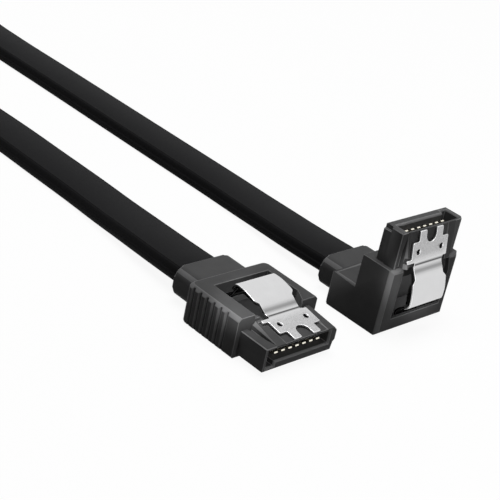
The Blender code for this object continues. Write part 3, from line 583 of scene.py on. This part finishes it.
class NodeMaker:
    """Writes a geometry node tree with named inputs."""

    def __init__(self, name, inputs):
        self.tree = bpy.data.node_groups.new(name, "GeometryNodeTree")
        face = self.tree.interface
        face.new_socket("Geometry", in_out="INPUT", socket_type="NodeSocketGeometry")
        self.keys = {}
        for label, kind in inputs:
            socket = face.new_socket(label, in_out="INPUT", socket_type=kind)
            self.keys[label] = socket.identifier
        face.new_socket("Geometry", in_out="OUTPUT", socket_type="NodeSocketGeometry")
        self.source = self.tree.nodes.new("NodeGroupInput")
        self.sink = self.tree.nodes.new("NodeGroupOutput")

    def given(self, label):
        return self.source.outputs[label]

    def add(self, kind, settings=None, inputs=None):
        """Adds a node with its settings, then its values or links."""
        made = self.tree.nodes.new(kind)
        for name, value in (settings or {}).items():
            setattr(made, name, value)
        for name, value in (inputs or {}).items():
            if isinstance(value, bpy.types.NodeSocket):
                self.tree.links.new(value, made.inputs[name])
            else:
                made.inputs[name].default_value = value
        return made

    def math(self, operation, first, second):
        return self.add("ShaderNodeMath", {"operation": operation},
                        {0: first, 1: second}).outputs[0]

    def vector(self, **parts):
        return self.add("ShaderNodeCombineXYZ", inputs=parts).outputs[0]

    def kept(self, geometry, kind, name, value):
        """The geometry with a value kept on its points, and the kept value."""
        made = self.add("GeometryNodeCaptureAttribute", {"domain": "POINT"})
        made.capture_items.new(kind, name)
        self.tree.links.new(geometry, made.inputs["Geometry"])
        self.tree.links.new(value, made.inputs[name])
        return made.outputs["Geometry"], made.outputs[name]

    def end(self, geometry):
        """Realizes the instances, sets the material and closes the tree."""
        real = self.add("GeometryNodeRealizeInstances", inputs={"Geometry": geometry})
        painted = self.add("GeometryNodeSetMaterial", inputs={
            "Geometry": real.outputs[0], "Material": self.given("Material")})
        self.tree.links.new(painted.outputs[0], self.sink.inputs[0])

    def mesh_of(self, carrier, values):
        """Runs the tree on an object and gives the result as a plain mesh."""
        modifier = carrier.modifiers.new(self.tree.name, "NODES")
        modifier.node_group = self.tree
        for label, value in values.items():
            modifier[self.keys[label]] = value
        graph = bpy.context.evaluated_depsgraph_get()
        mesh = bpy.data.meshes.new_from_object(carrier.evaluated_get(graph))
        carrier.modifiers.remove(modifier)
        return mesh


STRIP_INPUTS = [
    ("Width", "NodeSocketFloat"), ("Thickness", "NodeSocketFloat"), ("Corner", "NodeSocketFloat"),
    ("Corner Steps", "NodeSocketInt"), ("Material", "NodeSocketMaterial")]


def swept_strip(maker):
    """A strip with bulging sides swept along the curve, whose points keep their place along,
    across and through it as "run"."""
    length = maker.add("GeometryNodeSplineParameter").outputs["Length"]
    line, along = maker.kept(maker.given("Geometry"), "FLOAT", "Along", length)
    low = maker.math("MULTIPLY", maker.given("Corner"), 2.0)
    outline = maker.add("GeometryNodeCurvePrimitiveQuadrilateral", inputs={
        "Width": maker.given("Width"), "Height": low})
    rounded = maker.add("GeometryNodeFilletCurve", {"mode": "POLY"}, {
        "Curve": outline.outputs[0], "Radius": maker.given("Corner"),
        "Count": maker.given("Corner Steps")})
    stretch = maker.math("DIVIDE", maker.given("Thickness"), low)
    raised = maker.add("GeometryNodeTransform", inputs={
        "Geometry": rounded.outputs[0], "Scale": maker.vector(X=1.0, Y=stretch, Z=1.0)})
    position = maker.add("GeometryNodeInputPosition").outputs[0]
    profile, place = maker.kept(raised.outputs[0], "VECTOR", "Place", position)
    swept = maker.add("GeometryNodeCurveToMesh", inputs={
        "Curve": line, "Profile Curve": profile, "Fill Caps": True})
    parts = maker.add("ShaderNodeSeparateXYZ", inputs={0: place})
    run = maker.vector(X=along, Y=parts.outputs["X"], Z=parts.outputs["Y"])
    stored = maker.add("GeometryNodeStoreNamedAttribute",
                       {"data_type": "FLOAT_VECTOR", "domain": "POINT"},
                       {"Geometry": swept.outputs[0], "Name": "run", "Value": run})
    return stored.outputs[0]


def sweep_nodes():
    """One strip along the curve."""
    maker = NodeMaker("strip sweep", STRIP_INPUTS)
    maker.end(swept_strip(maker))
    return maker


def row_nodes():
    """Strips side by side in one row, centred on the curve."""
    maker = NodeMaker("strip row", STRIP_INPUTS + [
        ("Pitch", "NodeSocketFloat"), ("Count", "NodeSocketInt")])
    gaps = maker.math("SUBTRACT", maker.given("Count"), 1.0)
    span = maker.math("MULTIPLY", gaps, maker.given("Pitch"))
    first = maker.math("MULTIPLY", span, -0.5)
    places = maker.add("GeometryNodeMeshLine", {"mode": "OFFSET"}, {
        "Count": maker.given("Count"), "Start Location": maker.vector(Y=first),
        "Offset": maker.vector(Y=maker.given("Pitch"))})
    row = maker.add("GeometryNodeInstanceOnPoints", inputs={
        "Points": places.outputs[0], "Instance": swept_strip(maker)})
    maker.end(row.outputs[0])
    return maker


def route_curve(stations):
    """A curve through the stations, tilted as the ribbon turns."""
    data = bpy.data.curves.new("route", "CURVE")
    data.dimensions = "3D"
    data.twist_mode = "Z_UP"
    spline = data.splines.new("POLY")
    spline.points.add(len(stations) - 1)
    for point, (x, y, z, turn) in zip(spline.points, stations):
        point.co = (x, y, z, 1)
        point.tilt = turn * math.pi / 2
    return link(bpy.data.objects.new("route", data))


def smooth_shaded(mesh, turn):
    """The mesh shaded smooth, with edges that turn by more than this kept sharp."""
    mesh.shade_smooth()
    mesh.set_sharp_from_angle(angle=turn)
    return mesh


def round_edges(bm, edges, radius, highlight_layer):
    """Rounds the edges and marks the new faces in the given layer for a painted highlight."""
    made = bmesh.ops.bevel(bm, geom=edges, offset=radius, segments=2, profile=0.5,
                           affect="EDGES")
    for face in made["faces"]:
        if face.is_valid:
            face[highlight_layer] = 1.0


def moulded_mesh(node, radius):
    """A copy of a moulded node with its sharp edges rounded where there is room for it."""
    bm = bmesh.new()
    bm.from_mesh(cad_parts[node].data)
    bmesh.ops.remove_doubles(bm, verts=bm.verts, dist=WELD_GAP)
    bmesh.ops.dissolve_limit(bm, angle_limit=FLAT_TURN, verts=bm.verts, edges=bm.edges)
    roomy = [edge for edge in bm.edges
             if edge.is_manifold and edge.calc_face_angle() > SHARP_TURN
             and all(other.calc_length() > EDGE_ROOM * radius
                     for vert in edge.verts for other in vert.link_edges)]
    # Chamfers and rounded edges are marked here for a painted highlight
    highlight_layer = bm.faces.layers.float.new("edge")
    for face in bm.faces:
        face[highlight_layer] = 1.0 if max(map(abs, face.normal)) < CHAMFER_COSINE else 0.0
    round_edges(bm, roomy, radius, highlight_layer)
    return smooth_shaded(mesh_from(bm, node), MOULDED_SMOOTH)


def filleted(outline, radius):
    """The outline with its corners rounded as far as their sides allow, gentle turns kept."""
    points = [Vector(point) for point in outline]
    result = []
    for i, point in enumerate(points):
        back = points[i - 1] - point
        ahead = points[(i + 1) % len(points)] - point
        half = back.angle(ahead) / 2
        if half > FILLET_LEAST:
            result.append(point)
            continue
        cut = min(radius / math.tan(half), FILLET_SHARE * min(back.length, ahead.length))
        start = point + back.normalized() * cut
        end = point + ahead.normalized() * cut
        for step in range(FILLET_STEPS + 1):
            t = step / FILLET_STEPS
            result.append(start.lerp(point, t).lerp(point.lerp(end, t), t))
    return result


def latch_line(crest):
    """Side view of the latch strip's middle, from the prong tips to the hook, as (u, w)."""
    plate_end = LATCH_TIP + Vector((-PLATE_LENGTH, PLATE_SLOPE * PLATE_LENGTH))
    neck = plate_end + Vector((-NECK_LENGTH, NECK_RISE * (crest.y - plate_end.y)))
    fall = (HOOK_HEEL - crest).normalized()
    bends = [
        *(plate_end + step for step in NECK_START),
        neck,
        (neck + crest) / 2 + Vector((0, ARM_SWELL)),
        crest + Vector((2 * CREST_BEND, 0)),
        crest + Vector((CREST_BEND / 3, -CREST_BEND / 6)),
        crest + fall * CREST_BEND,
        crest.lerp(HOOK_HEEL, 0.5),
        HOOK_HEEL - fall * HOOK_BEND,
        HOOK_HEEL + Vector((-HOOK_BEND, 0)),
        HOOK_END,
    ]
    return np.vstack([[LATCH_TIP, plate_end], smooth_line(bends, LATCH_STEPS)])


def latch_outline(length, hand):
    """Flat blank of the latch as (s, v), with s along the strip from the prong tips."""
    plate, neck, arm = PLATE_WIDTH / 2, NECK_WIDTH / 2, ARM_WIDTH / 2
    end, hook = ARM_END_WIDTH / 2, HOOK_WIDTH / 2
    tongue = length - HOOK_TONGUE
    plate_end = PLATE_LENGTH * math.hypot(1, PLATE_SLOPE)
    neck_end = plate_end + NECK_LENGTH
    right = [(0, PRONG_INNER), (0, PRONG_OUTER), (PRONG_LENGTH, PRONG_OUTER),
             (PRONG_LENGTH, plate), (plate_end, plate), (plate_end, neck), (neck_end, neck),
             (neck_end + arm - neck, arm), (tongue, end), (tongue, hook), (length, hook)]
    tab = [(plate_end, -plate - TAB_LENGTH), (plate_end - TAB_WIDTH, -plate - TAB_LENGTH),
           (plate_end - TAB_WIDTH, -plate)]
    left = []
    for s, v in reversed(right):
        left.extend(tab if (s, v) == (plate_end, plate) else [(s, -v)])
    slot = []
    for i in range(PRONG_SLOT_STEPS + 1):
        angle = math.pi * i / PRONG_SLOT_STEPS
        slot.append((PRONG_SLOT_SETBACK + PRONG_INNER * math.sin(angle),
                     -PRONG_INNER * math.cos(angle)))
    return [(s, hand * v) for s, v in right + left + slot]


def lance_places():
    """Where the lanced tongues stand on the flat blank."""
    return [(LANCE_SETBACK, side * LANCE_SPACING / 2) for side in (-1, 1)]


def flat_strip(outline, thickness):
    """The blank as a solid with its two round holes, its middle plane at zero."""
    bm = bmesh.new()
    blank = bm.faces.new([bm.verts.new((s, v, -thickness / 2)) for s, v in outline])
    raised = bmesh.ops.extrude_face_region(bm, geom=[blank])["geom"]
    bmesh.ops.translate(bm, vec=(0, 0, thickness),
                        verts=[item for item in raised if isinstance(item, bmesh.types.BMVert)])
    bmesh.ops.recalc_face_normals(bm, faces=bm.faces)
    strip = mesh_from(bm, "latch blank")
    bm = bmesh.new()
    for s, v in lance_places():
        bmesh.ops.create_cone(bm, cap_ends=True, segments=LANCE_HOLE_STEPS, radius1=LANCE_HOLE,
                              radius2=LANCE_HOLE, depth=3 * thickness,
                              matrix=Matrix.Translation((s, v, 0)))
    return difference(strip, mesh_from(bm, "latch punch"))


def difference(mesh, tool):
    """The first mesh with the second cut out of it."""
    item = link(bpy.data.objects.new(mesh.name, mesh))
    cutter = link(bpy.data.objects.new(tool.name, tool))
    modifier = item.modifiers.new("punch", "BOOLEAN")
    modifier.operation = "DIFFERENCE"
    modifier.solver = "EXACT"
    modifier.object = cutter
    graph = bpy.context.evaluated_depsgraph_get()
    result = bpy.data.meshes.new_from_object(item.evaluated_get(graph))
    bpy.data.objects.remove(item)
    bpy.data.objects.remove(cutter)
    return result


def add_lance(bm, place, hand, thickness, highlight_layer):
    """A tongue that rises from one side of its hole, on the flat strip."""
    s, v = place
    rings = []
    for i in range(LANCE_STEPS + 1):
        share = i / LANCE_STEPS
        half = LANCE_WIDTH / 2 * math.sqrt(1 - LANCE_TAPER * share ** 2)
        across = v + hand * (LANCE_HOLE - LANCE_LENGTH * share)
        top = thickness / 2 + LANCE_RISE * share ** LANCE_CURL
        rings.append([bm.verts.new((s + side * half, across, top - depth))
                      for side, depth in ((-1, 0), (1, 0), (1, LANCE_THICKNESS),
                                          (-1, LANCE_THICKNESS))])
    faces = [bm.faces.new(rings[0]), bm.faces.new(rings[-1])]
    for first, second in zip(rings, rings[1:]):
        for j in range(4):
            k = (j + 1) % 4
            faces.append(bm.faces.new((first[j], first[k], second[k], second[j])))
    bmesh.ops.recalc_face_normals(bm, faces=faces)
    # The whole tongue is marked for a painted highlight
    for face in faces:
        face[highlight_layer] = 1.0


def bent(points, line):
    """Points (s, v, t) of the flat strip, laid along its side view in the plug frame."""
    stations = distances(line)
    ahead = np.gradient(line, stations, axis=0)
    s, v, t = points.T
    u, w, over_u, over_w = (np.interp(s, stations, column)
                            for column in (line[:, 0], line[:, 1], ahead[:, 1], -ahead[:, 0]))
    size = np.hypot(over_u, over_w)
    return np.stack([u + over_u / size * t, v + LATCH_SHIFT, w + over_w / size * t], axis=1)


def latch_mesh(prefix, settings):
    """One latch: the flat strip with rounded rims and raised tongues, bent to its side view."""
    hand = HANDS[prefix]
    line = latch_line(CRESTS[prefix])
    stations = distances(line)
    outline = filleted(latch_outline(stations[-1], hand), settings.corner)
    bm = bmesh.new()
    bm.from_mesh(flat_strip(outline, settings.thickness))
    # The rounded rims are marked for a painted highlight
    highlight_layer = bm.faces.layers.float.new("edge")
    rims = [edge for edge in bm.edges
            if edge.is_manifold and edge.calc_face_angle() > RIM_TURN]
    round_edges(bm, rims, settings.rim, highlight_layer)
    for station in stations[1:-1]:
        bmesh.ops.bisect_plane(bm, geom=bm.verts[:] + bm.edges[:] + bm.faces[:],
                               plane_co=(station, 0, 0), plane_no=(1, 0, 0))
    for place in lance_places():
        add_lance(bm, place, hand, settings.thickness, highlight_layer)
    bmesh.ops.triangulate(bm, faces=bm.faces)
    mesh = mesh_from(bm, prefix + " latch")
    flat = np.empty(len(mesh.vertices) * 3)
    mesh.vertices.foreach_get("co", flat)
    flat = flat.reshape(-1, 3)
    mesh.vertices.foreach_set("co", bent(flat, line).ravel())
    plate = np.clip((PLATE_LENGTH - BRIGHT_STRIP - flat[:, 0]) / PLATE_FADE, 0, 1)
    past = flat[:, 0] - stations[1]
    # Painted shadow over the hook under the housing's rim, and painted shade in bands across the
    # bends
    under = stations[np.argmax(line[:, 1])] + HOOK_SHADE
    painted_shade = np.clip((flat[:, 0] - under) / HOOK_SHADE, 0, 1)
    for place, width, depth in PAINTED_SHADE_BANDS:
        painted_shade = np.maximum(painted_shade, depth * np.exp(-((past - place) / width) ** 2))
    mesh.attributes.new("strip", "FLOAT_VECTOR", "POINT").data.foreach_set("vector", flat.ravel())
    mesh.attributes.new("plate", "FLOAT", "POINT").data.foreach_set("value", plate)
    mesh.attributes.new("painted_shade", "FLOAT", "POINT").data.foreach_set("value", painted_shade)
    mesh.transform(FRAMES[prefix])
    return smooth_shaded(mesh, LATCH_SMOOTH)


class DATALEAD_OT_stage(bpy.types.Operator):
    """Set up the camera, the floor, the white surroundings and the lamps."""

    bl_idname = "datalead.stage"
    bl_label = "Stage"

    def execute(self, context):
        settings = context.scene.datalead_stage
        scene = context.scene
        scene.view_settings.view_transform = "Standard"
        lens = bpy.data.cameras.new("photo camera")
        lens.angle = settings.view_angle
        lens.clip_start = CLIP_START
        camera = link(bpy.data.objects.new("photo camera", lens))
        camera.location = settings.camera_place
        camera.rotation_euler = settings.camera_turn
        scene.camera = camera

        bm = bmesh.new()
        bmesh.ops.create_grid(bm, x_segments=1, y_segments=1, size=FLOOR_REACH)
        mesh = mesh_from(bm, "floor")
        mesh.materials.append(floor_material(settings))
        link(bpy.data.objects.new("floor", mesh))
        scene.world = white_world(settings.room_light)

        for name, place, power in (("key light", KEY_PLACE, settings.key_power),
                                   ("fill light", FILL_PLACE, settings.fill_power)):
            lamp = new_lamp(name, "AREA", power, place, Vector())
            lamp.shape = "SQUARE"
            lamp.size = LAMP_SIZE
        for prefix in PREFIXES:
            u, v, w = WINDOW_AIM
            inside = FRAMES[prefix] @ Vector((u, -HANDS[prefix] * v, w))
            lamp = new_lamp(prefix + " window light", "SPOT", settings.window_power,
                            inside + WINDOW_LAMP_OFFSET, inside)
            lamp.spot_size = WINDOW_CONE
            lamp.spot_blend = 1.0
            lamp.shadow_soft_size = WINDOW_LAMP_RADIUS
        return {"FINISHED"}


class DATALEAD_OT_cable(bpy.types.Operator):
    """Lay the flat cable along its route."""

    bl_idname = "datalead.cable"
    bl_label = "Flat cable"

    def execute(self, context):
        settings = context.scene.datalead_cable
        stations = cable_line(settings)
        carrier = route_curve(stations)
        finish = jacket_material(settings)
        mesh = sweep_nodes().mesh_of(carrier, {
            "Width": settings.width, "Thickness": settings.thickness,
            "Corner": settings.corner, "Corner Steps": CABLE_CORNER_STEPS, "Material": finish})
        bpy.data.objects.remove(carrier)
        mesh.shade_smooth()
        cable = new_piece("flat_cable", mesh, finish, CARRIER, "jacket", "ribbon_cable")
        return {"FINISHED"}


class DATALEAD_OT_mouldings(bpy.types.Operator):
    """Round the edges of the moulded heads and overmoulds and give them their plastic."""

    bl_idname = "datalead.mouldings"
    bl_label = "Mouldings"

    def execute(self, context):
        settings = context.scene.datalead_plastic
        head = plastic_material("black housing", settings.housing_colour, roughness=0.4,
                                painted_highlight=3.0, grain=9000.0, specular=0.03)
        soft = plastic_material("black overmould", settings.overmould_colour, roughness=0.52,
                                painted_highlight=2.3, grain=6500.0, specular=0.02)
        for prefix in PREFIXES:
            node = prefix + "_housing"
            new_piece(prefix + "_head", moulded_mesh(node, settings.edge), head, CARRIER,
                      "housing", node)
            node = prefix + "_overmold"
            new_piece(prefix + "_body", moulded_mesh(node, settings.edge), soft, CARRIER,
                      "overmould", node)
        return {"FINISHED"}


class DATALEAD_OT_latches(bpy.types.Operator):
    """Press the latches: plate, lanced tongues, neck, arm and hook."""

    bl_idname = "datalead.latches"
    bl_label = "Latches"

    def execute(self, context):
        settings = context.scene.datalead_latch
        finish = steel_material(settings)
        for prefix in PREFIXES:
            node = prefix + "_latch"
            new_piece(prefix + "_spring", latch_mesh(prefix, settings), finish, node, "latch",
                      node)
        return {"FINISHED"}


class DATALEAD_OT_contacts(bpy.types.Operator):
    """Set the rows of sprung contacts into the two slots."""

    bl_idname = "datalead.contacts"
    bl_label = "Contacts"

    def execute(self, context):
        settings = context.scene.datalead_contacts
        finish = plating_material(settings)
        maker = row_nodes()
        line = smooth_line(CONTACT_LINE, CONTACT_STEPS)
        carrier = route_curve([(u, 0.0, w, 0.0) for u, w in line])
        for prefix in PREFIXES:
            mesh = maker.mesh_of(carrier, {
                "Width": settings.width, "Thickness": settings.thickness,
                "Corner": settings.corner, "Corner Steps": CONTACT_CORNER_STEPS,
                "Material": finish, "Pitch": settings.pitch, "Count": settings.count})
            mesh.transform(FRAMES[prefix])
            nodes = [f"{prefix}_contact_{number}" for number in range(1, settings.count + 1)]
            new_piece(prefix + "_contacts", smooth_shaded(mesh, CONTACT_SMOOTH), finish, CARRIER,
                      "contact", *nodes)
        bpy.data.objects.remove(carrier)
        return {"FINISHED"}


class DATALEAD_PT_panel(bpy.types.Panel):
    """Buttons and sizes of the data lead."""

    bl_label = "Data Lead"
    bl_space_type = "VIEW_3D"
    bl_region_type = "UI"
    bl_category = "Data Lead"

    def draw(self, context):
        for name, _, operator in SECTIONS:
            box = self.layout.box()
            settings = getattr(context.scene, name)
            for key in settings.__annotations__:
                box.prop(settings, key)
            box.operator(operator.bl_idname)


SECTIONS = [
    ("datalead_stage", StageSettings, DATALEAD_OT_stage),
    ("datalead_cable", CableSettings, DATALEAD_OT_cable),
    ("datalead_plastic", PlasticSettings, DATALEAD_OT_mouldings),
    ("datalead_latch", LatchSettings, DATALEAD_OT_latches),
    ("datalead_contacts", ContactSettings, DATALEAD_OT_contacts),
]


def register():
    for name, settings, operator in SECTIONS:
        bpy.utils.register_class(settings)
        bpy.utils.register_class(operator)
        setattr(bpy.types.Scene, name, PointerProperty(type=settings))
    bpy.utils.register_class(DATALEAD_PT_panel)


def unregister():
    bpy.utils.unregister_class(DATALEAD_PT_panel)
    for name, settings, operator in reversed(SECTIONS):
        delattr(bpy.types.Scene, name)
        bpy.utils.unregister_class(operator)
        bpy.utils.unregister_class(settings)


def main():
    register()
    bpy.ops.datalead.stage()
    bpy.ops.datalead.cable()
    bpy.ops.datalead.mouldings()
    bpy.ops.datalead.latches()
    bpy.ops.datalead.contacts()


if __name__ == "__main__":
    main()
